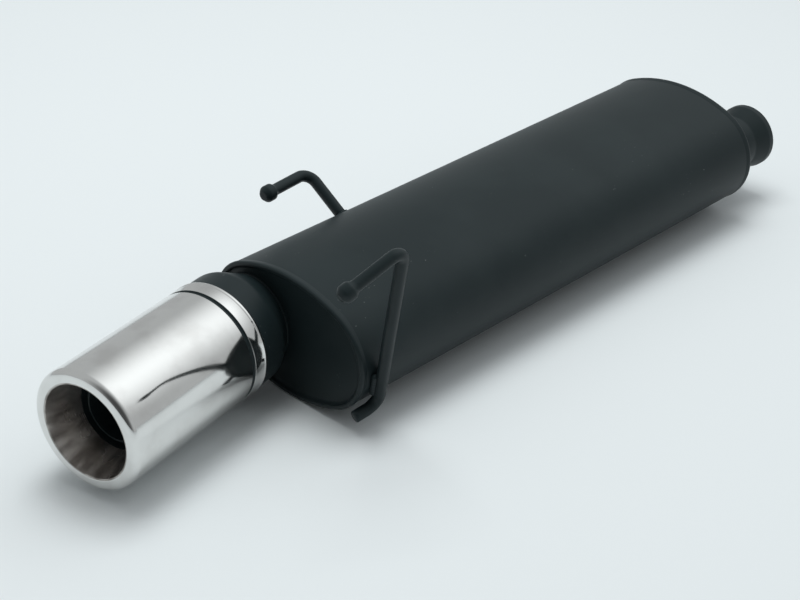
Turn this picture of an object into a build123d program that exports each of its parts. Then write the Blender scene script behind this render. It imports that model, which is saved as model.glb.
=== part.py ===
from build123d import *
import os
from math import atan2, cos, radians, sin

# Oval rear silencer with a twin-wall round tailpipe trim, lying as it hangs on the car.
# Millimetres. Origin: centre of the inlet mouth. +X leaves the inlet, +Y is the left side, +Z is up.

# Body
body_length = 509.0  # over both end caps
body_width = 170.0
body_height = 110.6
side_radius = 47.5  # of the oval's two side arcs
shell_sheet = 1.0
lining_sheet = 0.7
plate = 1.2  # end caps and baffles
rim_proud = 0.7  # the rolled seam's outer leg, over the shell
rim_leg = 5.0
cap_recess = 3.0
front_chamber = 70.0
rear_chamber = 80.0
baffle_flange = 11.0
lap_width = 22.0  # the wrap's lap joint along the underside, pressed flat by the seam welder
lap_gap = 1.0  # from either rolled seam

# Gas pipes
pipe_radius = 25.0
pipe_wall = 1.5
tube_wall = 1.2
inlet_offset = 44.8  # inlet axis to the right of the body's middle
outlet_offset = 41.6  # outlet axis to the left of it
inlet_stub = 51.6  # inlet mouth to the front cap
flare_radius = 30.3
flare_lip = 6.0
flare_cone = 15.0
outlet_bend = 75.0
inlet_pipe_reach = 24.0  # into the body
inlet_tube_gap = 4.5  # from the front cap's face to the perforated tube
outlet_pipe_reach = 48.0
outlet_tube_reach = 28.0  # from the rear cap's face
chamber_gap = 20.0  # from a baffle to the open end of a tube in its chamber
return_overhang = 10.0
drill_margin = 20.0
hole_radius = 2.5
hole_pitch = 22.0
holes_across = 5  # drilled right through, so twice as many holes in a ring
return_radius = 17.0
return_rise = 22.0  # the two return tubes stand this far above and below the middle
wool_sleeve = 4.0
clearance = 0.3

# Tailpipe trim, measured back from its front plane
tip_yaw = 11.18  # towards the right side
tip_rise = 0.38
tip_length = 196.4  # front plane to the rear cap, along the trim's axis
tip_radius = 50.0
tip_sheet = 1.2
drum_radius = 49.0
lip_roll = 5.6
mouth_radius = 39.4
liner_depth = 30.0
liner_end_radius = 31.5
groove_front = 134.0
groove_rear = 137.9
collar_rear = 152.5
collar_roll = 4.0  # width of the bead rolled into the collar's rear edge
collar_proud = 0.6
collar_turn = 0.4  # how far the bead turns in at the very edge
cone_start = 174.4
cone_taper = 0.52  # radius lost for each millimetre towards the cap
cone_reach = 12.0  # how far the taper runs past the cap's plane before it is cut there
pipe_end = 31.0
spigot_length = 10.0  # of the drum, under the sleeve
inner_ring_depth = 8.0
mouth_lap = 0.6  # the sleeve's edge and the liner's rim overlap by this much

# Hangers, placed from the rear cap's face and the body's middle line
rod_radius = 5.0
left_bend = 11.0
right_bend = 9.0
foot_bend = 14.0
head_radius = 7.3
head_length = 13.0
left_corner = (130.7, 114.6, 56.6)
left_head = (81.3, 109.8, 56.2)
left_foot = (130.7, 72.0, 29.2)  # just inside the shell, where the rod is cut
right_head = (-46.6, -121.0, 109.6)
right_top = (2.2, -129.0, 129.3)
right_bottom = (20.7, -82.3, -34.5)
right_foot = (-0.6, -78.0, -39.7)
right_weld_length = 22.0
weld_size = 4.0
bead_radius = 2.8
bead_sink = 3.4  # from the leaning rod's axis towards the shell
cone_weld = 3.0

front_face = -inlet_stub
rear_face = front_face - body_length
middle = inlet_offset
outlet_y = middle + outlet_offset
front_baffle_x = front_face - front_chamber
rear_baffle_x = rear_face + rear_chamber
pair_y = outlet_y / 2  # the return tubes stand midway between inlet and outlet
lining_inset = shell_sheet + lining_sheet
cap_floor = rear_face + cap_recess
tube_radius = pipe_radius + tube_wall
tube_seats = [
    (0.0, 0.0, tube_radius),
    (outlet_y, 0.0, tube_radius),
    (pair_y, return_rise, return_radius),
    (pair_y, -return_rise, return_radius),
]
tip_direction = Vector(
    -cos(radians(tip_yaw)) * cos(radians(tip_rise)),
    -sin(radians(tip_yaw)) * cos(radians(tip_rise)),
    sin(radians(tip_rise)),
)
tip_plane = Plane(origin=(rear_face, outlet_y, 0), x_dir=(0, 0, 1), z_dir=tip_direction)


def oval(inset):
    """Four tangent arcs, drawn inset from the body's outside."""
    half_width = body_width / 2 - inset
    half_height = body_height / 2 - inset
    side = side_radius - inset
    side_x = half_width - side
    crown = (side_x**2 + half_height**2 - side**2) / (2 * (half_height - side))
    drop = crown - half_height
    reach = side / (crown - side)
    corner_x, corner_y = side_x * (1 + reach), drop * reach
    right = ThreePointArc((corner_x, -corner_y), (half_width, 0), (corner_x, corner_y))
    top = ThreePointArc((corner_x, corner_y), (0, half_height), (-corner_x, corner_y))
    left = ThreePointArc((-corner_x, corner_y), (-half_width, 0), (-corner_x, -corner_y))
    bottom = ThreePointArc((-corner_x, -corner_y), (0, -half_height), (corner_x, -corner_y))
    return make_face([right, top, left, bottom])


def slab(inset, start, end):
    """The oval as a solid from start to end along X."""
    low, high = min(start, end), max(start, end)
    across = Plane(origin=(low, middle, 0), x_dir=(0, 1, 0), z_dir=(1, 0, 0))
    return extrude(across * oval(inset), amount=high - low)


def ring(inset, thickness, start, end):
    return slab(inset, start, end) - slab(inset + thickness, start, end)


def bar(radius, start, end, y, z=0.0):
    """A round bar along X."""
    low, high = min(start, end), max(start, end)
    return extrude(Plane(origin=(low, y, z), z_dir=(1, 0, 0)) * Circle(radius), amount=high - low)


def pipe(radius, wall, start, end, y, z=0.0):
    return bar(radius, start, end, y, z) - bar(radius - wall, start, end, y, z)


def turned(points, axis_plane):
    """Revolve an outline of (radius, height) points about the plane's normal."""
    outline = make_face(Polyline(*points, close=True))
    return axis_plane * revolve(Plane.XZ * outline, axis=Axis.Z)


# Body ---------------------------------------------------------------------------------------


def shell_wrap():
    """One sheet rolled round the body, ending inside the two rolled seams."""
    wrap = ring(0, shell_sheet, rear_face + plate, front_face - plate)
    lap_length = body_length - 2 * (rim_leg + lap_gap)
    strip = Pos((front_face + rear_face) / 2, middle, -body_height / 2)
    strip *= Box(lap_length, lap_width, 2 * shell_sheet)
    return wrap + (strip - slab(shell_sheet / 2, rear_face, front_face))


def shell_lining():
    return ring(shell_sheet, lining_sheet, rear_face + 6, front_face - 6)


def end_cap(face, inward, pipe_hole):
    """A dished plate whose edge is rolled over the end of the shell."""
    rim = slab(-rim_proud, face, face + inward * rim_leg)
    rim -= slab(0, face + inward * plate, face + inward * rim_leg)
    edges = rim.edges().filter_by_position(Axis.X, face - 0.01, face + 0.01)
    rim = fillet(edges, 0.6)
    dish = slab(shell_sheet, face, face + inward * (cap_recess + plate))
    recess = slab(shell_sheet + plate + 1.0, face, face + inward * cap_recess)
    return rim + dish - recess - pipe_hole


def baffle(x, facing):
    """A pressed plate with a flange against the lining and a hole for each tube."""
    disc = slab(lining_inset, x, x + facing * plate)
    flange = ring(lining_inset, plate, x, x + facing * baffle_flange)
    solid = disc + flange
    for y, z, radius in tube_seats:
        solid -= bar(radius, x - 30, x + 30, y, z)
    return solid


# Gas pipes ----------------------------------------------------------------------------------


def inlet_pipe():
    """Plain pipe with its mouth flared to a short socket."""
    inner_end = front_face - inlet_pipe_reach
    cone_start_x = -(flare_lip + flare_cone)
    outer = [
        (pipe_radius, inner_end),
        (pipe_radius, cone_start_x),
        (flare_radius, -flare_lip),
        (flare_radius, 0),
    ]
    inner = [(radius - pipe_wall, height) for radius, height in reversed(outer)]
    return turned(outer + inner, Plane(origin=(0, 0, 0), z_dir=(1, 0, 0)))


def perforated_tube(y, start, end, drilled_from, drilled_to):
    tube = pipe(tube_radius, tube_wall, start, end, y)
    count = int((drilled_to - drilled_from) // hole_pitch)
    first = (drilled_from + drilled_to - (count - 1) * hole_pitch) / 2
    drills = []
    for row in range(count):
        for step in range(holes_across):
            turn = (step + 0.5 * (row % 2)) * 180 / holes_across
            drill = Cylinder(hole_radius, 2 * pipe_radius + 20)
            drills.append(Pos(first + row * hole_pitch, y, 0) * Rot(turn, 0, 0) * drill)
    return tube - drills


def return_tube(side):
    start, end = rear_baffle_x - return_overhang, front_baffle_x + return_overhang
    return pipe(return_radius, tube_wall, start, end, pair_y, side * return_rise)


def wool_wrap(y):
    start = rear_baffle_x + plate + clearance
    end = front_baffle_x - plate - clearance
    inner = tube_radius + clearance
    return pipe(inner + wool_sleeve, wool_sleeve, start, end, y)


def glass_wool():
    """Packing that fills the middle chamber round the four tubes."""
    start = rear_baffle_x + baffle_flange + clearance
    end = front_baffle_x - baffle_flange - clearance
    fill = slab(lining_inset + clearance, start, end)
    for y in (0.0, outlet_y):
        fill -= bar(tube_radius + wool_sleeve + 2 * clearance, start, end, y)
    for side in (1, -1):
        fill -= bar(return_radius + clearance, start, end, pair_y, side * return_rise)
    return fill


def outlet_run(radius):
    """The outlet pipe's bent bar, from inside the rear chamber to inside the trim."""
    inner_end = Vector(rear_face + outlet_pipe_reach, outlet_y, 0)
    root = Vector(rear_face, outlet_y, 0)
    outer_end = root + tip_direction * (tip_length - pipe_end)
    path = FilletPolyline(inner_end, root, outer_end, radius=outlet_bend)
    return sweep(Plane(origin=inner_end, z_dir=(-1, 0, 0)) * Circle(radius), path=path)


def outlet_pipe():
    return outlet_run(pipe_radius) - outlet_run(pipe_radius - pipe_wall)


# Tailpipe trim ------------------------------------------------------------------------------


def height(back):
    """Height on the trim's axis of a point that lies this far back from its front plane."""
    return tip_length - back


def tapered(extra, wall):
    """The drum's outline, grown by extra all over: spigot, drum and taper."""
    spigot = tip_radius - tip_sheet
    low = height(cone_start)
    outer = [
        (spigot + extra, height(groove_front - spigot_length)),
        (spigot + extra, height(groove_rear)),
        (drum_radius + extra, height(groove_rear)),
        (drum_radius + extra, low),
        (drum_radius + extra - cone_taper * (low + cone_reach), -cone_reach),
    ]
    inner = [(radius - wall, level) for radius, level in reversed(outer)]
    return turned(outer + inner, tip_plane) - slab(-5, cap_floor, cap_floor + 40)


def trim_cone():
    """Black drum that tapers down to the rear cap and carries the trim."""
    return tapered(0, tip_sheet)


def trim_cone_weld():
    """Bead in the corner between the taper and the cap."""
    reach = slab(5, cap_floor - cone_weld, cap_floor)
    return tapered(cone_weld, cone_weld) & reach


def trim_collar():
    """Polished band behind the groove, with a bead rolled into its rear edge."""
    front, roll, rear = height(groove_rear), height(collar_rear - collar_roll), height(collar_rear)
    edge = tip_radius - collar_turn
    outline = [
        Polyline((tip_radius, roll), (tip_radius, front), (drum_radius, front), (drum_radius, rear),
                 (edge, rear)),
        ThreePointArc((edge, rear), (tip_radius + collar_proud, (roll + rear) / 2), (tip_radius, roll)),
    ]
    return tip_plane * revolve(Plane.XZ * make_face(outline), axis=Axis.Z)


def trim_sleeve():
    """Polished outer wall, rolled in at the front."""
    inner = tip_radius - tip_sheet
    edge = mouth_radius + mouth_lap
    roll_start, back = height(lip_roll), height(groove_front)
    roll_centre = tip_radius - lip_roll
    slant, inner_slant = lip_roll * sin(radians(45)), (lip_roll - tip_sheet) * sin(radians(45))
    outline = [
        Line((tip_radius, back), (tip_radius, roll_start)),
        ThreePointArc(
            (tip_radius, roll_start),
            (roll_centre + slant, roll_start + slant),
            (roll_centre, tip_length),
        ),
        Polyline((roll_centre, tip_length), (edge, tip_length), (edge, tip_length - tip_sheet),
                 (roll_centre, tip_length - tip_sheet)),
        ThreePointArc(
            (roll_centre, tip_length - tip_sheet),
            (roll_centre + inner_slant, roll_start + inner_slant),
            (inner, roll_start),
        ),
        Polyline((inner, roll_start), (inner, back), (tip_radius, back)),
    ]
    return tip_plane * revolve(Plane.XZ * make_face(outline), axis=Axis.Z)


def trim_liner():
    """Polished cone that leads into the mouth."""
    front = tip_length - 0.4
    end = height(liner_depth)
    outline = [
        (mouth_radius + mouth_lap, front),
        (mouth_radius - 0.4, front),
        (liner_end_radius - tip_sheet, end),
        (liner_end_radius, end),
        (mouth_radius + mouth_lap, front - tip_sheet - 2.0),
    ]
    return turned(outline, tip_plane)


def trim_inner_ring():
    """Dark ring that closes the gap between the outlet pipe and the liner."""
    front, rear = height(liner_depth), height(liner_depth + inner_ring_depth)
    outline = [
        (liner_end_radius, front),
        (liner_end_radius, rear),
        (pipe_radius, rear),
        (pipe_radius, rear + tip_sheet),
        (liner_end_radius - tip_sheet, rear + tip_sheet),
        (liner_end_radius - tip_sheet, front),
    ]
    return turned(outline, tip_plane)


def trim_spacer():
    """Pressed disc that holds the outlet pipe in the middle of the drum."""
    level = height(groove_front - 6)
    flange = tip_radius - 2 * tip_sheet
    outline = [
        (pipe_radius, level),
        (flange, level),
        (flange, height(groove_rear)),
        (flange - plate, height(groove_rear)),
        (flange - plate, level - plate),
        (pipe_radius, level - plate),
    ]
    return turned(outline, tip_plane)


# Hangers ------------------------------------------------------------------------------------


def from_cap(along, across, up):
    return Vector(rear_face + along, middle + across, up)


def rod(points, radii):
    path = FilletPolyline(*points, radius=radii)
    start = Plane(origin=points[0], z_dir=points[1] - points[0])
    return sweep(start * Circle(rod_radius), path=path)


def head(centre, direction):
    """Upset end that keeps the rubber mount on the rod."""
    half = head_length / 2
    outline = [
        (0, -half),
        (rod_radius, -half),
        (head_radius, -half + 3.0),
        (head_radius, half - 3.5),
        (head_radius - 2.6, half),
        (0, half),
    ]
    return turned(outline, Plane(origin=centre, z_dir=direction))


def left_hanger_rod():
    """Rod that stands off the shell's upper left shoulder and turns back along the body."""
    foot, corner, end = from_cap(*left_foot), from_cap(*left_corner), from_cap(*left_head)
    bar_solid = rod([foot, corner, end], left_bend)
    return bar_solid + head(end, end - corner) - slab(0, rear_face, front_face)


def right_hanger_rod():
    """Rod that leans out from the shell's side as it rises, with a short cranked foot below."""
    points = [from_cap(*spot) for spot in (right_foot, right_bottom, right_top, right_head)]
    bar_solid = rod(points, [foot_bend, right_bend])
    return bar_solid + head(points[-1], points[-1] - points[-2])


# Welds --------------------------------------------------------------------------------------


def weld_ring(plane, radius, size):
    """Triangular fillet weld round a pipe, its root in the corner."""
    return turned([(radius, 0), (radius + size, 0), (radius, size)], plane)


def left_hanger_weld():
    foot, corner = from_cap(*left_foot), from_cap(*left_corner)
    up = (corner - foot).normalized()
    bead = Plane(origin=foot + up * 1.6, z_dir=up) * Cone(rod_radius + weld_size, rod_radius, 2 * weld_size)
    return bead - slab(0, rear_face, front_face) - left_hanger_rod()


def right_hanger_weld():
    """A bead along each side of the rod where it leans on the shell."""
    low, high = from_cap(*right_bottom), from_cap(*right_top)
    rise = (high - low).normalized()
    lean = atan2(-rise.Y, rise.Z)
    away = Vector(0, -cos(lean), -sin(lean))  # from the shell's side towards the rod's axis
    level = (side_radius + rod_radius) * away.Z
    touch = low + (high - low) * ((level - low.Z) / (high.Z - low.Z))
    across = rise.cross(away)
    beads = []
    for side in (1, -1):
        place = Plane(origin=touch - away * bead_sink + across * side * rod_radius, z_dir=rise)
        bead = place * capsule(bead_radius, right_weld_length)
        beads.append(bead - slab(0, rear_face, front_face) - right_hanger_rod())
    return Compound(children=[solid for bead in beads for solid in bead.solids()])


def capsule(radius, length):
    """A round bar with domed ends."""
    return Cylinder(radius, length - 2 * radius) + [
        Pos(0, 0, side * (length / 2 - radius)) * Sphere(radius) for side in (1, -1)
    ]


def build():
    drilled_from, drilled_to = rear_baffle_x + drill_margin, front_baffle_x - drill_margin
    cap_hole = bar(pipe_radius, front_face - 20, front_face + 20, 0.0)
    inlet_root = Plane(origin=(front_face - cap_recess, 0, 0), z_dir=(1, 0, 0))
    outlet_root = Plane(origin=(cap_floor, outlet_y, 0), z_dir=(-1, 0, 0))
    return {
        "shell_wrap": shell_wrap(),
        "shell_lining": shell_lining(),
        "front_end_cap": end_cap(front_face, -1, cap_hole),
        "rear_end_cap": end_cap(rear_face, 1, outlet_run(pipe_radius)),
        "front_baffle": baffle(front_baffle_x, -1),
        "rear_baffle": baffle(rear_baffle_x, 1),
        "inlet_pipe": inlet_pipe(),
        "inlet_perforated_tube": perforated_tube(
            0.0, rear_baffle_x - chamber_gap, front_face - inlet_tube_gap, drilled_from, drilled_to
        ),
        "outlet_perforated_tube": perforated_tube(
            outlet_y, rear_face + outlet_tube_reach, front_baffle_x + chamber_gap, drilled_from, drilled_to
        ),
        "upper_return_tube": return_tube(1),
        "lower_return_tube": return_tube(-1),
        "inlet_steel_wool": wool_wrap(0.0),
        "outlet_steel_wool": wool_wrap(outlet_y),
        "glass_wool_packing": glass_wool(),
        "outlet_pipe": outlet_pipe(),
        "trim_cone": trim_cone(),
        "trim_cone_weld": trim_cone_weld(),
        "trim_spacer": trim_spacer(),
        "trim_collar": trim_collar(),
        "trim_sleeve": trim_sleeve(),
        "trim_liner": trim_liner(),
        "trim_inner_ring": trim_inner_ring(),
        "left_hanger_rod": left_hanger_rod(),
        "right_hanger_rod": right_hanger_rod(),
        "left_hanger_weld": left_hanger_weld(),
        "right_hanger_weld": right_hanger_weld(),
        "inlet_pipe_weld": weld_ring(inlet_root, pipe_radius, weld_size),
        "outlet_pipe_weld": weld_ring(outlet_root, pipe_radius, weld_size) - outlet_run(pipe_radius),
    }


os.makedirs("parts", exist_ok=True)
for name, solid in build().items():
    export_step(solid, f"parts/{name}.step")
    print(name, round(solid.volume / 1000, 1), "cm3")
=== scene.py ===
import bmesh
import bpy
from math import atan2, cos, pi, radians, sin, tan, tau
from mathutils import Matrix, Vector, noise


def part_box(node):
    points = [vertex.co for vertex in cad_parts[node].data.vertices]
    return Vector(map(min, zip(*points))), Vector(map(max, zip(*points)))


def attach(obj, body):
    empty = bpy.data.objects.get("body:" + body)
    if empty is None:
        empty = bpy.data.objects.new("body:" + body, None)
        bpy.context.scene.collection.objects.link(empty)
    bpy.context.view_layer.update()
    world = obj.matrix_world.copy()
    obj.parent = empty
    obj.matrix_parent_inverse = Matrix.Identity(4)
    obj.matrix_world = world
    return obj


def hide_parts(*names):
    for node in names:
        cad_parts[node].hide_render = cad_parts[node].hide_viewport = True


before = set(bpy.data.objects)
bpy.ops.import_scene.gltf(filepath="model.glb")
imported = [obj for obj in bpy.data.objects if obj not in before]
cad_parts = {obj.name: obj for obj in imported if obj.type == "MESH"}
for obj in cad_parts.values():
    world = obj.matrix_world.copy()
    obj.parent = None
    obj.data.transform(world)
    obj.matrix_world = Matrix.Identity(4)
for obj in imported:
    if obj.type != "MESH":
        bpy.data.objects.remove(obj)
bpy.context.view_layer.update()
scene = bpy.context.scene

# places that the frame gives
shellLow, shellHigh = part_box("shell_wrap")
rearFace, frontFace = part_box("rear_end_cap")[0].x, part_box("front_end_cap")[1].x
bodyMiddle = (shellLow.y + shellHigh.y) / 2
halfWidth, halfHeight = (shellHigh.y - shellLow.y) / 2, shellHigh.z
tubeLow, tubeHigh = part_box("outlet_perforated_tube")
outletRoot = Vector((rearFace, (tubeLow.y + tubeHigh.y) / 2, 0))
floorLevel = shellLow.z  # the part lies on the shell's lap seam
print("frame loaded, body", round(frontFace - rearFace, 4), "m long")


# small tools for outlines and meshes

def spread(start, end, steps):
    return [start + (end - start) * i / steps for i in range(steps + 1)]


def rounded(corners, closed=True, steps=6):
    # corners are (across, along, roundness); each round corner becomes an arc
    outline = []
    for i, (across, along, roundness) in enumerate(corners):
        here = Vector((across, along))
        atEnd = not closed and i in (0, len(corners) - 1)
        if roundness == 0 or atEnd:
            outline.append(tuple(here))
            continue
        before = Vector(corners[i - 1][:2])
        after = Vector(corners[(i + 1) % len(corners)][:2])
        back, on = (before - here).normalized(), (after - here).normalized()
        half = back.angle(on) / 2
        centre = here + (back + on).normalized() * roundness / sin(half)
        first = here + back * roundness / tan(half) - centre
        last = here + on * roundness / tan(half) - centre
        turn = first.angle_signed(last)
        for part in spread(0, 1, steps):
            arm = first.copy()
            arm.rotate(Matrix.Rotation(-turn * part, 2))
            outline.append(tuple(centre + arm))
    return outline


def spun(outline, place, steps=144, closed=True):
    # turn an outline of (radius, height) about its own axis, then put it in place
    bm = bmesh.new()
    points = [bm.verts.new((radius, 0, height)) for radius, height in outline]
    lines = [bm.edges.new(pair) for pair in zip(points, points[1:])]
    if closed:
        lines.append(bm.edges.new((points[-1], points[0])))
    bmesh.ops.spin(bm, geom=points + lines, cent=(0, 0, 0), axis=(0, 0, 1), angle=tau,
                   steps=steps, use_merge=True)
    bmesh.ops.remove_doubles(bm, verts=bm.verts, dist=1e-7)
    bmesh.ops.recalc_face_normals(bm, faces=bm.faces)
    bmesh.ops.transform(bm, matrix=place, verts=bm.verts)
    return bm


def edgesOf(geometry):
    return [item for item in geometry if isinstance(item, bmesh.types.BMEdge)]


def placed(origin, direction):
    turn = Vector(direction).to_track_quat("Z", "Y").to_matrix().to_4x4()
    return Matrix.Translation(origin) @ turn


def finished(name, bm, material, nodes, sharpFrom=40):
    # a bmesh becomes a piece that rides on the body and stands for its CAD nodes
    mesh = bpy.data.meshes.new(name)
    bm.to_mesh(mesh)
    bm.free()
    mesh.materials.append(material)
    mesh.shade_smooth()
    mesh.set_sharp_from_angle(angle=radians(sharpFrom))
    piece = bpy.data.objects.new(name, mesh)
    scene.collection.objects.link(piece)
    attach(piece, "root")
    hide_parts(*nodes)


# shader maths

class Wire:
    # wraps one output socket, so that sums on wires add Math nodes
    def __init__(self, tree, socket=None):
        self.tree, self.socket = tree, socket

    def node(self, kind, settings=None, sockets=None, out=0):
        made = self.tree.nodes.new(kind)
        for key, value in (settings or {}).items():
            setattr(made, key, value)
        for key, value in (sockets or {}).items():
            if isinstance(value, Wire):
                self.tree.links.new(value.socket, made.inputs[key])
            else:
                made.inputs[key].default_value = value
        return Wire(self.tree, made.outputs[out])

    def maths(self, operation, first, second):
        return self.node("ShaderNodeMath", {"operation": operation}, {0: first, 1: second})

    def __add__(self, other):
        return self.maths("ADD", self, other)

    def __sub__(self, other):
        return self.maths("SUBTRACT", self, other)

    def __rsub__(self, other):
        return self.maths("SUBTRACT", other, self)

    def __mul__(self, other):
        return self.maths("MULTIPLY", self, other)

    __radd__ = __add__
    __rmul__ = __mul__

    def between(self, low, high):
        # 0 below low, 1 above high, smooth in between
        sockets = {"Value": self, "From Min": low, "From Max": high}
        return self.node("ShaderNodeMapRange", {"interpolation_type": "SMOOTHSTEP"}, sockets)

    def mixed(self, first, second):
        # colour first where this wire is 0, second where it is 1
        made = self.tree.nodes.new("ShaderNodeMix")
        made.data_type = "RGBA"
        self.tree.links.new(self.socket, made.inputs["Factor"])
        for place, value in ((6, first), (7, second)):
            if isinstance(value, Wire):
                self.tree.links.new(value.socket, made.inputs[place])
            else:
                made.inputs[place].default_value = value
        return Wire(self.tree, made.outputs[2])


def startMaterial(name, constants):
    material = bpy.data.materials.new(name)
    material.use_nodes = True
    tree = material.node_tree
    shader = tree.nodes["Principled BSDF"]
    for key, value in constants.items():
        shader.inputs[key].default_value = value
    wire = Wire(tree)
    place = wire.node("ShaderNodeTexCoord", out=3)  # Object coordinates
    return material, wire, place, shader


def join(wire, shader, key):
    wire.tree.links.new(wire.socket, shader.inputs[key])


def cloud(wire, place, scale, detail=2.0, roughness=0.5):
    sockets = {"Vector": place, "Scale": scale, "Detail": detail, "Roughness": roughness}
    return wire.node("ShaderNodeTexNoise", {}, sockets)


def stretched(wire, place, stretch):
    return wire.node("ShaderNodeVectorMath", {"operation": "MULTIPLY"}, {0: place, 1: stretch})


def bumped(wire, height, strength, distance):
    return wire.node("ShaderNodeBump", {}, {"Height": height, "Strength": strength, "Distance": distance})


# materials; sizes of patterns are cloud scales, and relief is in metres
paint = {"dark": (0.0120, 0.0195, 0.0213, 1), "dusty": (0.0165, 0.0250, 0.0268, 1),
         "speck": (0.10, 0.11, 0.11, 1), "roughness": 0.44, "specular": 0.19, "patches": 14.0,
         "grain": 1300.0, "peel": 330.0, "specks": 620.0, "speckPatches": 31.0, "relief": 0.00012}


def blackPaint(name="blackPaint", grain=1.0, roughness=paint["roughness"]):
    # heat-resistant paint: dark, satin, with a fine dry grain and a few light specks
    constants = {"Specular IOR Level": paint["specular"], "Metallic": 0.0}
    material, wire, place, shader = startMaterial(name, constants)
    broad = cloud(wire, place, paint["patches"], 3.0)
    fine = cloud(wire, place, paint["grain"], 2.0, 0.6)
    orangePeel = cloud(wire, place, paint["peel"], 1.0)
    gathered = cloud(wire, place, paint["speckPatches"], 0.0).between(0.60, 0.70)  # specks lie in groups
    specks = cloud(wire, place, paint["specks"], 0.0).between(0.835, 0.85) * gathered
    tone = broad.between(0.35, 0.7).mixed(paint["dark"], paint["dusty"])
    join(specks.mixed(tone, paint["speck"]), shader, "Base Color")
    join(roughness - 0.06 + broad * 0.08 + fine * 0.05, shader, "Roughness")
    join(bumped(wire, orangePeel * 0.6 + fine * 0.4 * grain, 0.22, paint["relief"]), shader, "Normal")
    return material


# the liner tint is darkened in part as painted reflection; the soot colour paints streaks that stand for
# soot and for dark reflections
polish = {"steel": (0.74, 0.74, 0.725, 1), "hazy": (0.66, 0.655, 0.64, 1), "liner": (0.50, 0.47, 0.445, 1),
          "sootAndReflection": (0.085, 0.070, 0.060, 1), "roughness": 0.07, "lines": (2600.0, 26.0, 26.0),
          "streaks": (6.0, 62.0, 62.0), "haze": 42.0, "wave": 9.0, "relief": 0.0009}


def polishedSteel(name, roughness, metallic=1.0, tint=None, sootAndReflection=0.0):
    # mirror-polished stainless: soft cloudiness, fine turning lines round the axis, slight waviness
    material, wire, place, shader = startMaterial(name, {"Metallic": metallic})
    axisTurn = (0, -radians(trim["rise"]), -radians(trim["yaw"]))
    sockets = {"Vector": place, "Rotation": axisTurn}
    along = wire.node("ShaderNodeMapping", {"vector_type": "POINT"}, sockets)
    turned = cloud(wire, stretched(wire, along, polish["lines"]), 1.0, 2.0, 0.6)
    haze = cloud(wire, place, polish["haze"], 3.0)
    wave = cloud(wire, place, polish["wave"], 1.0)
    tone = haze.between(0.4, 0.75).mixed(tint or polish["steel"], tint or polish["hazy"])
    if sootAndReflection:
        # soot and scuffs, and painted reflection: dark streaks run down the cone
        streaks = cloud(wire, stretched(wire, along, polish["streaks"]), 1.0, 3.0, 0.6)
        tone = (streaks.between(0.38, 0.66) * sootAndReflection).mixed(tone, polish["sootAndReflection"])
    join(tone, shader, "Base Color")
    join(roughness + haze.between(0.45, 0.8) * 0.05 + turned * 0.03, shader, "Roughness")
    join(bumped(wire, wave + turned * 0.0015, 0.5, polish["relief"]), shader, "Normal")
    return material


def bareSteel(name, tone, roughness, grain):
    # aluminised sheet inside the body: spangled and dull
    material, wire, place, shader = startMaterial(name, {"Metallic": 0.9})
    spangle = wire.node("ShaderNodeTexVoronoi", {}, {"Vector": place, "Scale": grain})
    dust = cloud(wire, place, 60.0, 4.0)
    darker = tuple(part * 0.6 for part in tone[:3]) + (1,)
    join((spangle * 0.5 + dust * 0.5).mixed(tone, darker), shader, "Base Color")
    join(roughness + dust * 0.15, shader, "Roughness")
    join(bumped(wire, dust, 0.3, 0.0003), shader, "Normal")
    return material


def woolFibre(name, tone, metallic, stretch):
    # packed fibre: strands that run mostly round the tubes
    material, wire, place, shader = startMaterial(name, {"Metallic": metallic, "Roughness": 0.9})
    fibre = cloud(wire, stretched(wire, place, stretch), 1.0, 4.0, 0.7)
    darker = tuple(part * 0.45 for part in tone[:3]) + (1,)
    join(fibre.between(0.3, 0.7).mixed(darker, tone), shader, "Base Color")
    join(bumped(wire, fibre, 0.8, 0.001), shader, "Normal")
    return material


# tailpipe trim; places along its axis are measured back from its front plane
trim = {"yaw": 11.18, "rise": 0.38, "length": 0.1964, "radius": 0.050, "sheet": 0.0012, "lipRoll": 0.0056,
        "mouth": 0.0394, "mouthLap": 0.0006, "cutEdge": 0.0004, "linerDepth": 0.030, "linerEnd": 0.0315,
        "linerRim": 0.0032, "ringDepth": 0.008, "grooveFront": 0.1340, "grooveRear": 0.1379, "grooveFill": 0.0497,
        "grooveFillWidth": 0.0012, "spigot": 0.010, "collarRear": 0.1525, "collarRoll": 0.0040,
        "collarProud": 0.0006, "drum": 0.0490, "taperStart": 0.1744, "taper": 0.52, "taperReach": 0.014,
        "taperBend": 0.012, "pipe": 0.025, "steps": 192}

bodyPaint = blackPaint()
rodPaint = blackPaint("rodPaint", grain=1.6, roughness=0.42)
weldPaint = blackPaint("weldPaint", grain=2.2, roughness=0.40)
mirrorSteel = polishedSteel("mirrorSteel", polish["roughness"])
# the liner's darker tint and its dark streaks are partly painted reflection of the room
linerSteel = polishedSteel("linerSteel", 0.24, metallic=0.85, tint=polish["liner"], sootAndReflection=0.8)
sheetSteel = bareSteel("sheetSteel", (0.42, 0.42, 0.43, 1), 0.45, 260.0)
tubeSteel = bareSteel("tubeSteel", (0.34, 0.32, 0.30, 1), 0.5, 420.0)
steelWool = woolFibre("steelWool", (0.40, 0.39, 0.37, 1), 0.8, (500.0, 2600.0, 2600.0))
glassWool = woolFibre("glassWool", (0.74, 0.69, 0.52, 1), 0.0, (300.0, 1500.0, 1500.0))
print("materials made")


# body: oval shell with a rolled seam and a dished cap at each end

body = {"sideRadius": 0.0475, "sheet": 0.0010, "plate": 0.0012, "seamProud": 0.0007, "seamRoll": 0.0019,
        "seamLeg": 0.0048, "seamSlope": 0.0018, "seamBend": 0.0011, "capFloor": 0.0030, "dishStep": 0.0014,
        "dishBend": 0.0024, "dishReach": 0.020, "flange": 0.0050, "inletHole": 0.025, "outletHole": 0.0262,
        "groove": 0.00006, "steps": 46, "lengths": 30, "lapInset": 0.006, "lapWidth": 0.022,
        "lapThick": 0.0016, "lapEdge": 0.0004}


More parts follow.
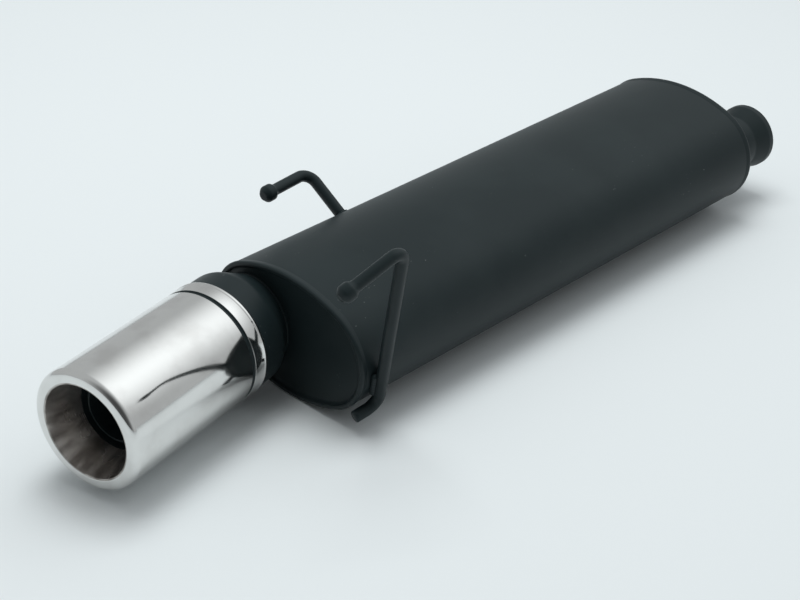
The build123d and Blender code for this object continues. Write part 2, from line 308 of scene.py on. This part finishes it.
def oval(x, inset):
    # four tangent arcs, walked by the direction that the wall faces
    side = body["sideRadius"]
    sideY = halfWidth - side
    crown = (sideY**2 + halfHeight**2 - side**2) / (2 * (halfHeight - side))
    change = atan2(crown - halfHeight, sideY)
    arcs = [(-change, change, sideY, 0, side), (change, pi - change, 0, halfHeight - crown, crown),
            (pi - change, pi + change, -sideY, 0, side),
            (pi + change, tau - change, 0, crown - halfHeight, crown)]
    ring = []
    for start, end, y, z, radius in arcs:
        for facing in spread(start, end, body["steps"])[:-1]:
            reach = radius - inset
            ring.append(Vector((x, bodyMiddle + y + reach * cos(facing), z + reach * sin(facing))))
    return ring


def circle(x, radius, centre):
    count = 4 * body["steps"]
    turns = [tau * (step - body["steps"] / 2) / count for step in range(count)]
    return [Vector((x, centre.y + radius * cos(turn), centre.z + radius * sin(turn))) for turn in turns]


def skinned(rings):
    # extrude the first ring through all the others, then close the skin
    bm = bmesh.new()
    points = [bm.verts.new(place) for place in rings[0]]
    edges = [bm.edges.new(pair) for pair in zip(points, points[1:] + points[:1])]
    opening = edges[:]
    for ring in rings[1:]:
        made = bmesh.ops.extrude_edge_only(bm, edges=edges)["geom"]
        fresh = {item for item in made if isinstance(item, bmesh.types.BMVert)}
        points = [next(other for other in (edge.other_vert(point) for edge in point.link_edges)
                       if other in fresh) for point in points]
        for point, place in zip(points, ring):
            point.co = place
        edges = [edge for edge in edgesOf(made) if fresh.issuperset(edge.verts)]
    bmesh.ops.bridge_loops(bm, edges=opening + edges)
    bmesh.ops.recalc_face_normals(bm, faces=bm.faces)
    return bm


def buildShell():
    # the pressed seam leaves a faint groove just behind each rim
    under, dip, clear = body["plate"], body["groove"], 0.0100
    end = [(0, under), (0, 0.0046), (dip, 0.0051), (dip, 0.0058), (dip * 0.4, 0.0075), (0, clear)]
    length = frontFace - rearFace
    run = [(0, depth) for depth in spread(clear, length - clear, body["lengths"])[1:-1]]
    outside = end + run + [(inset, length - depth) for inset, depth in reversed(end)]
    profile = [(body["sheet"], under)] + outside + [(body["sheet"], length - under)]
    bm = skinned([oval(rearFace + depth, inset) for inset, depth in profile])
    addLap(bm)
    finished("shellWrap", bm, bodyPaint, ["shell_wrap"])


def addLap(bm):
    # the wrap's outer end, pressed flat by the seam welder, runs along the underside
    length, thick = frontFace - rearFace - 2 * body["lapInset"], body["lapThick"]
    middle = Vector(((frontFace + rearFace) / 2, bodyMiddle, shellLow.z + thick / 2))
    size = Matrix.Diagonal((length, body["lapWidth"], thick, 1))
    made = bmesh.ops.create_cube(bm, size=1, matrix=Matrix.Translation(middle) @ size)
    low = {edge for vert in made["verts"] if vert.co.z < middle.z for edge in vert.link_edges}
    bmesh.ops.bevel(bm, geom=list(low), offset=body["lapEdge"], affect="EDGES", segments=3, profile=0.5,
                    material=-1)


def buildCap(name, node, face, inward, holeRadius, holeCentre):
    proud, roll, floor, plate = -body["seamProud"], body["seamRoll"], body["capFloor"], body["plate"]
    leg, slope, inside = body["seamLeg"], body["seamSlope"], proud + 2 * roll
    corners = [(0, leg + slope, 0), (proud, leg - slope, body["seamBend"]), (proud, 0, roll),
               (inside, 0, roll * 0.6), (inside + body["dishStep"], floor, body["dishBend"]),
               (inside + body["dishReach"], floor, 0)]
    front = rounded(corners, closed=False)
    sheet = body["sheet"]
    back = [(body["flange"], floor + plate), (sheet, floor + plate), (sheet, plate), (0, plate)]
    rings = [oval(face + inward * depth, inset) for inset, depth in front]
    rings += [circle(face + inward * depth, holeRadius, holeCentre) for depth in (floor, floor + plate)]
    rings += [oval(face + inward * depth, inset) for inset, depth in back]
    finished(name, skinned(rings), bodyPaint, [node])


buildShell()
buildCap("frontEndCap", "front_end_cap", frontFace, -1, body["inletHole"], Vector((frontFace, 0, 0)))
buildCap("rearEndCap", "rear_end_cap", rearFace, 1, body["outletHole"], outletRoot)
print("body made")


# inlet: flared pipe and its weld

inlet = {"pipe": 0.025, "wall": 0.0015, "rim": 0.0303, "lip": 0.006, "cone": 0.015, "inside": 0.024,
         "bend": 0.008, "edge": 0.0006, "bead": 0.0028}


def buildInlet():
    pipe, rim, wall, bend = inlet["pipe"], inlet["rim"], inlet["wall"], inlet["bend"]
    flare, inside = -(inlet["lip"] + inlet["cone"]), frontFace - inlet["inside"]
    corners = [(pipe, inside, 0), (pipe, flare, bend), (rim, -inlet["lip"], bend * 0.6),
               (rim, 0, inlet["edge"]), (rim - wall, 0, inlet["edge"]),
               (rim - wall, -inlet["lip"], bend * 0.5), (pipe - wall, flare, bend),
               (pipe - wall, inside, 0)]
    bm = spun(rounded(corners), placed((0, 0, 0), (1, 0, 0)))
    finished("inletPipe", bm, bodyPaint, ["inlet_pipe"])


buildInlet()
print("inlet made")


# tailpipe trim

trimAxis = Vector((-cos(radians(trim["yaw"])) * cos(radians(trim["rise"])),
                   -sin(radians(trim["yaw"])) * cos(radians(trim["rise"])), sin(radians(trim["rise"]))))
trimPlace = placed(outletRoot, trimAxis)


def level(back):
    # height on the trim's axis of what lies this far behind its front plane
    return trim["length"] - back


def buildSleeve():
    outer, sheet, cut, roll = trim["radius"], trim["sheet"], trim["cutEdge"], trim["lipRoll"]
    edge, top, back = trim["mouth"] + trim["mouthLap"], level(0), level(trim["grooveFront"])
    corners = [(outer, back, cut), (outer, top, roll), (edge, top, 0.0005), (edge, top - sheet, 0),
               (outer - sheet, top - sheet, roll - sheet), (outer - sheet, back, cut)]
    bm = spun(rounded(corners, steps=12), trimPlace, steps=trim["steps"])
    finished("trimSleeve", bm, mirrorSteel, ["trim_sleeve"])


def buildLiner():
    front, end, mouth = level(0.0004), level(trim["linerDepth"]), trim["mouth"]
    corners = [(mouth + trim["mouthLap"], front, 0), (mouth - 0.0004, front, 0.0006),
               (trim["linerEnd"] - trim["sheet"], end, 0.0003), (trim["linerEnd"], end, 0.0003),
               (mouth + trim["mouthLap"], front - trim["linerRim"], 0)]
    bm = spun(rounded(corners), trimPlace, steps=trim["steps"])
    finished("trimLiner", bm, linerSteel, ["trim_liner"])


def buildInnerRing():
    front, rear = level(trim["linerDepth"]), level(trim["linerDepth"] + trim["ringDepth"])
    sheet = trim["sheet"]
    corners = [(trim["linerEnd"], front, 0), (trim["linerEnd"], rear, 0.002), (trim["pipe"], rear, 0),
               (trim["pipe"], rear + sheet, 0), (trim["linerEnd"] - sheet, rear + sheet, 0.001),
               (trim["linerEnd"] - sheet, front, 0)]
    bm = spun(rounded(corners), trimPlace)
    finished("trimInnerRing", bm, bodyPaint, ["trim_inner_ring"])


def buildCollar():
    front, rear, inner = level(trim["grooveRear"]), level(trim["collarRear"]), trim["drum"]
    # the rear edge is rolled into a low bead, which turns in a little at its end
    bead = [(trim["radius"] + trim["collarProud"] * (1 - part**2) - trim["cutEdge"] * max(part, 0)**2,
             rear + trim["collarRoll"] * (1 - part) / 2, 0) for part in spread(-1, 1, 14)]
    corners = [(inner, front, 0), (trim["radius"], front, 0.0002)] + bead + [(inner, rear, 0)]
    bm = spun(rounded(corners), trimPlace, steps=trim["steps"])
    finished("trimCollar", bm, mirrorSteel, ["trim_collar"])


def taperRadius(height):
    return trim["drum"] - trim["taper"] * (level(trim["taperStart"]) - height)


def buildCone():
    sheet, drum, grooveFill, bend = trim["sheet"], trim["drum"], trim["grooveFill"], trim["taperBend"]
    spigot, low = trim["radius"] - sheet, -trim["taperReach"]
    front, step = level(trim["grooveFront"] - trim["spigot"]), level(trim["grooveRear"])
    shoulder = level(trim["taperStart"])
    # a black-painted fillet fills the groove against the collar and hides the collar's front wall, so the
    # groove stays dark right up to the collar
    corners = [(spigot, front, 0), (spigot, step + trim["grooveFillWidth"], 0), (grooveFill, step + 0.0002, 0.0002),
               (grooveFill, step, 0), (drum, step, 0), (drum, shoulder, bend), (taperRadius(low), low, 0),
               (taperRadius(low) - sheet, low, 0), (drum - sheet, shoulder, bend), (drum - sheet, step, 0),
               (spigot - sheet, step, 0), (spigot - sheet, front, 0)]
    bm = spun(rounded(corners), trimPlace)
    floor = Vector((rearFace + body["capFloor"], 0, 0))
    geometry = bm.verts[:] + bm.edges[:] + bm.faces[:]
    cut = bmesh.ops.bisect_plane(bm, geom=geometry, plane_co=floor, plane_no=(1, 0, 0), clear_outer=True)
    bmesh.ops.bridge_loops(bm, edges=edgesOf(cut["geom_cut"]))
    bmesh.ops.recalc_face_normals(bm, faces=bm.faces)
    finished("trimCone", bm, bodyPaint, ["trim_cone"])


buildSleeve()
buildLiner()
buildInnerRing()
buildCollar()
buildCone()
print("trim made")


# welds

weld = {"bead": 0.0015, "ripple": 0.00025, "pitch": 0.0028, "wander": 0.0002, "sink": 0.0006}


def seamPoint(facing):
    # where the taper meets the cap, in the direction that facing gives
    floor = outletRoot + Vector((body["capFloor"], 0, 0))
    arm = Vector((0, cos(facing), sin(facing)))
    reach = trim["drum"]
    for _ in range(12):
        offset = floor + arm * reach - outletRoot
        height = offset.dot(trimAxis)
        reach += taperRadius(height) - (offset - trimAxis * height).length
    return floor + arm * reach


def bridged(bm, loops):
    # join each loop to the next, and the last to the first, into one closed skin
    for first, second in zip(loops, loops[1:] + loops[:1]):
        bmesh.ops.bridge_loops(bm, edges=first + second)
    bmesh.ops.recalc_face_normals(bm, faces=bm.faces)


def weldLoop(path, size):
    # a rippled bead along a closed path
    bm = bmesh.new()
    rings = []
    travelled = 0
    for i, point in enumerate(path):
        ahead = path[(i + 1) % len(path)] - path[i - 1]
        travelled += (point - path[i - 1]).length if i else 0
        beat = abs(sin(pi * travelled / weld["pitch"]))
        radius = size - weld["ripple"] * (1 - beat) + weld["wander"] * noise.noise(point * 400)
        place = placed(point, ahead)
        made = bmesh.ops.create_circle(bm, segments=12, radius=radius, matrix=place)
        rings.append(list({edge for vert in made["verts"] for edge in vert.link_edges}))
    bridged(bm, rings)
    return bm


def buildConeWeld():
    outwards = Vector((-weld["sink"], 0, 0))
    bm = weldLoop([seamPoint(turn) + outwards for turn in spread(0, tau, 360)[:-1]], weld["bead"])
    finished("trimConeWeld", bm, bodyPaint, ["trim_cone_weld"])


def buildInletWeld():
    x, reach = frontFace - body["capFloor"] + weld["sink"], inlet["pipe"] + weld["sink"]
    bm = weldLoop([Vector((x, reach * cos(turn), reach * sin(turn))) for turn in spread(0, tau, 300)[:-1]],
                  inlet["bead"])
    finished("inletPipeWeld", bm, weldPaint, ["inlet_pipe_weld"])


buildConeWeld()
buildInletWeld()


# hanger rods: 10 mm bar, bent, with an upset head

rod = {"radius": 0.005, "leftBend": 0.011, "rightBend": 0.009, "footBend": 0.014, "cut": 0.0006,
       "head": 0.0073, "headLength": 0.013, "leftFoot": (0.1307, 0.0720, 0.0292),
       "leftCorner": (0.1307, 0.1146, 0.0566), "leftHead": (0.0813, 0.1098, 0.0562),
       "rightHead": (-0.0466, -0.1210, 0.1096), "rightTop": (0.0022, -0.1290, 0.1293),
       "rightBottom": (0.0207, -0.0823, -0.0345), "rightFoot": (-0.0006, -0.0780, -0.0397),
       "leftBead": 0.0016, "leftSeat": 0.0014, "rightBead": 0.0030, "weldLength": 0.022,
       "weldSink": 0.0038, "weldApart": 0.0043}


def fromCap(along, across, up):
    return Vector((rearFace + along, bodyMiddle + across, up))


def headProfile():
    half, shank, head = rod["headLength"] / 2, rod["radius"], rod["head"]
    # (distance past the head's middle, radius)
    return [(-half - 0.0022, shank), (-half - 0.0002, shank + 0.0002), (-half + 0.0022, head - 0.0006),
            (-half + 0.0030, head - 0.0001), (-half + 0.0040, head), (half - 0.0044, head),
            (half - 0.0034, head - 0.0003), (half - 0.0006, head - 0.0026), (half - 0.0001, head - 0.0034),
            (half, head - 0.0046)]


def pulled(bm, ring):
    # extrude a ring of edges in place, and give its new corners and edges
    out = bmesh.ops.extrude_edge_only(bm, edges=ring)["geom"]
    moved = [item for item in out if isinstance(item, bmesh.types.BMVert)]
    return moved, [edge for edge in edgesOf(out) if all(vert in moved for vert in edge.verts)]


def bentRod(points, bends):
    # drive a ring of edges along the runs, spin it round each bend, then swell it into the head
    bm = bmesh.new()
    heading = (points[1] - points[0]).normalized()
    start = placed(points[0], heading)
    made = bmesh.ops.create_circle(bm, segments=28, radius=rod["radius"], matrix=start)
    ring = list({edge for vert in made["verts"] for edge in vert.link_edges})
    here = points[0].copy()
    chamfer(bm, ring, here, heading)

    def drive(ring, distance, steps=1):
        for _ in range(steps):
            moved, ring = pulled(bm, ring)
            bmesh.ops.translate(bm, vec=heading * distance / steps, verts=moved)
        return ring

    for corner, after, bend in zip(points[1:], points[2:], bends):
        onward = (after - corner).normalized()
        turn = heading.angle(onward)
        trimmed = bend * tan(turn / 2)
        ring = drive(ring, (corner - here).length - trimmed, 6)
        axis = heading.cross(onward).normalized()
        centre = corner - heading * trimmed + axis.cross(heading) * bend
        out = bmesh.ops.spin(bm, geom=ring, cent=centre, axis=axis, angle=turn, steps=14)
        ring = edgesOf(out["geom_last"])
        heading, here = onward, corner + onward * trimmed
    centre = points[-1]
    radius = rod["radius"]
    profile = headProfile()
    ring = drive(ring, (centre - here).length + profile[0][0], 4)
    for (at, _), (past, size) in zip(profile, profile[1:]):
        ring = drive(ring, past - at)
        middle = centre + heading * past
        moved = list({vert for edge in ring for vert in edge.verts})
        bmesh.ops.scale(bm, vec=(size / radius,) * 3, space=Matrix.Translation(-middle), verts=moved)
        radius = size
    bmesh.ops.contextual_create(bm, geom=ring)
    bmesh.ops.recalc_face_normals(bm, faces=bm.faces)
    return bm


def chamfer(bm, ring, centre, heading):
    # the cut end of the rod, slightly broken at its edge
    moved, ends = pulled(bm, ring)
    bmesh.ops.translate(bm, vec=-heading * rod["cut"], verts=moved)
    bmesh.ops.scale(bm, vec=(0.88,) * 3, space=Matrix.Translation(-centre), verts=moved)
    bmesh.ops.contextual_create(bm, geom=ends)


def buildRods():
    left = [fromCap(*rod[name]) for name in ("leftFoot", "leftCorner", "leftHead")]
    right = [fromCap(*rod[name]) for name in ("rightFoot", "rightBottom", "rightTop", "rightHead")]
    bm = bentRod(left, [rod["leftBend"]])
    finished("leftHangerRod", bm, rodPaint, ["left_hanger_rod"], 60)
    bm = bentRod(right, [rod["footBend"], rod["rightBend"]])
    finished("rightHangerRod", bm, rodPaint, ["right_hanger_rod"], 60)
    return left, right


def rippledBar(start, end, size):
    # a short run of weld from start to end, domed at both ends
    length = (end - start).length
    outline = [(0, 0)]
    for part in spread(0, 1, 44)[1:-1]:
        dome = min(1, (4 * part * (1 - part) * length / (2 * size)) ** 0.5)
        beat = abs(sin(pi * part * length / weld["pitch"]))
        outline.append((size * dome - weld["ripple"] * (1 - beat), part * length))
    outline.append((0, length))
    return spun(outline, placed(start, end - start), steps=20, closed=False)


def buildLeftRodWeld(foot, corner):
    up = (corner - foot).normalized()
    across = up.orthogonal().normalized() * (rod["radius"] + weld["sink"])
    seat = foot + up * rod["leftSeat"]
    path = [seat + Matrix.Rotation(turn, 3, up) @ across for turn in spread(0, tau, 120)[:-1]]
    bm = weldLoop(path, rod["leftBead"])
    finished("leftHangerWeld", bm, weldPaint, ["left_hanger_weld"])


def buildRightRodWeld(low, high):
    # one bead on each side of the rod, where it leans on the shell
    rise = (high - low).normalized()
    lean = atan2(-rise.y, rise.z)
    away = Vector((0, -cos(lean), -sin(lean)))  # from the shell's side towards the rod
    climb = ((body["sideRadius"] + rod["radius"]) * away.z - low.z) / rise.z
    touch = low + rise * climb - away * rod["weldSink"]
    half = rise * rod["weldLength"] / 2
    bm = bmesh.new()
    for side in (1, -1):
        middle = touch + rise.cross(away) * side * rod["weldApart"]
        bead = rippledBar(middle - half, middle + half, rod["rightBead"])
        mesh = bpy.data.meshes.new("bead")
        bead.to_mesh(mesh)
        bead.free()
        bm.from_mesh(mesh)
        bpy.data.meshes.remove(mesh)
    finished("rightHangerWeld", bm, weldPaint, ["right_hanger_weld"])


leftRun, rightRun = buildRods()
buildLeftRodWeld(*leftRun[:2])
buildRightRodWeld(*rightRun[1:3])
print("hangers and welds made")


# what the body holds inside keeps its CAD shape

insides = {"shell_lining": sheetSteel, "front_baffle": sheetSteel, "rear_baffle": sheetSteel,
           "inlet_perforated_tube": tubeSteel, "outlet_perforated_tube": tubeSteel,
           "upper_return_tube": tubeSteel, "lower_return_tube": tubeSteel, "trim_spacer": sheetSteel,
           "outlet_pipe_weld": sheetSteel, "inlet_steel_wool": steelWool, "outlet_steel_wool": steelWool,
           "glass_wool_packing": glassWool, "outlet_pipe": bodyPaint}
for name, material in insides.items():
    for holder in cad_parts[name].material_slots:
        holder.material = material
print("inner parts finished")


# floor, light and camera

stage = {"floorSize": 30.0, "floorColour": (0.785, 0.820, 0.832, 1), "sky": (0.95, 0.985, 1.0, 1),
         "horizon": 0.52, "glow": 0.85, "glowTurn": -12.0, "glowRise": 52.0, "glowReach": 50.0,
         "backShade": 0.85, "back": (-0.75, -0.60, 0.28), "overheadSize": (1.3, 1.3), "overheadPower": 33.0,
         "overheadPlace": (-0.25, 0.40, 2.4), "overheadAim": (-0.50, 0.05, 0),
         "overheadColour": (0.97, 1.0, 1.0), "floorGap": 0.0002}
view = {"place": (-1.32047, -0.83745, 0.73021), "yaw": 44.83, "pitch": -31.0, "lens": 78.09}


def buildFloor():
    bm = bmesh.new()
    bmesh.ops.create_grid(bm, x_segments=2, y_segments=2, size=stage["floorSize"] / 2)
    bmesh.ops.translate(bm, vec=(rearFace, 0, floorLevel - stage["floorGap"]), verts=bm.verts)
    mesh = bpy.data.meshes.new("floor")
    bm.to_mesh(mesh)
    bm.free()
    constants = {"Roughness": 0.75, "Specular IOR Level": 0.2}
    material, wire, place, shader = startMaterial("paleFloor", constants)
    shade = cloud(wire, place, 1.3, 1.0).between(0.2, 0.8)
    duller = tuple(part * 0.99 for part in stage["floorColour"])
    join(shade.mixed(stage["floorColour"], duller), shader, "Base Color")
    mesh.materials.append(material)
    floor = bpy.data.objects.new("floor", mesh)
    scene.collection.objects.link(floor)


def addOverhead():
    data = bpy.data.lights.new("overhead", "AREA")
    data.shape = "RECTANGLE"
    data.size, data.size_y = stage["overheadSize"]
    data.energy, data.color = stage["overheadPower"], stage["overheadColour"]
    light = bpy.data.objects.new("overhead", data)
    place = Vector(stage["overheadPlace"])
    light.matrix_world = placed(place, place - Vector(stage["overheadAim"]))
    light.visible_glossy = False  # the polished trim mirrors only the room
    scene.collection.objects.link(light)


def towards(wire, direction):
    # 1 where the sky lies in this direction, falling to -1 opposite
    sockets = {0: wire.node("ShaderNodeTexCoord"), 1: direction}
    return wire.node("ShaderNodeVectorMath", {"operation": "DOT_PRODUCT"}, sockets, 1)


def lightRoom():
    # a grey room, with one broad soft glow in it and a darker patch at the back
    world = bpy.data.worlds.new("studio")
    world.use_nodes = True
    tree = world.node_tree
    background = tree.nodes["Background"]
    background.inputs["Color"].default_value = stage["sky"]
    wire = Wire(tree)
    turn, rise = radians(stage["glowTurn"]), radians(stage["glowRise"])
    glow = towards(wire, (cos(rise) * cos(turn), cos(rise) * sin(turn), sin(rise)))
    apart = wire.node("ShaderNodeMath", {"operation": "ARCCOSINE"}, {0: glow})
    near = apart.between(radians(stage["glowReach"]), 0.0)
    shade = towards(wire, stage["back"]).between(0.45, 0.98) * (stage["horizon"] * stage["backShade"])
    join(near * stage["glow"] + stage["horizon"] - shade, background, "Strength")
    scene.world = world


def addCamera():
    data = bpy.data.cameras.new("camera")
    data.lens, data.sensor_width = view["lens"], 36
    data.clip_end = 50
    camera = bpy.data.objects.new("camera", data)
    yaw, pitch = radians(view["yaw"]), radians(view["pitch"])
    looking = Vector((cos(pitch) * cos(yaw), cos(pitch) * sin(yaw), sin(pitch)))
    turned = looking.to_track_quat("-Z", "Y").to_matrix().to_4x4()
    camera.matrix_world = Matrix.Translation(view["place"]) @ turned
    scene.collection.objects.link(camera)
    scene.camera = camera


buildFloor()
lightRoom()
addOverhead()
addCamera()
scene.view_settings.view_transform = "Standard"
print("stage made")
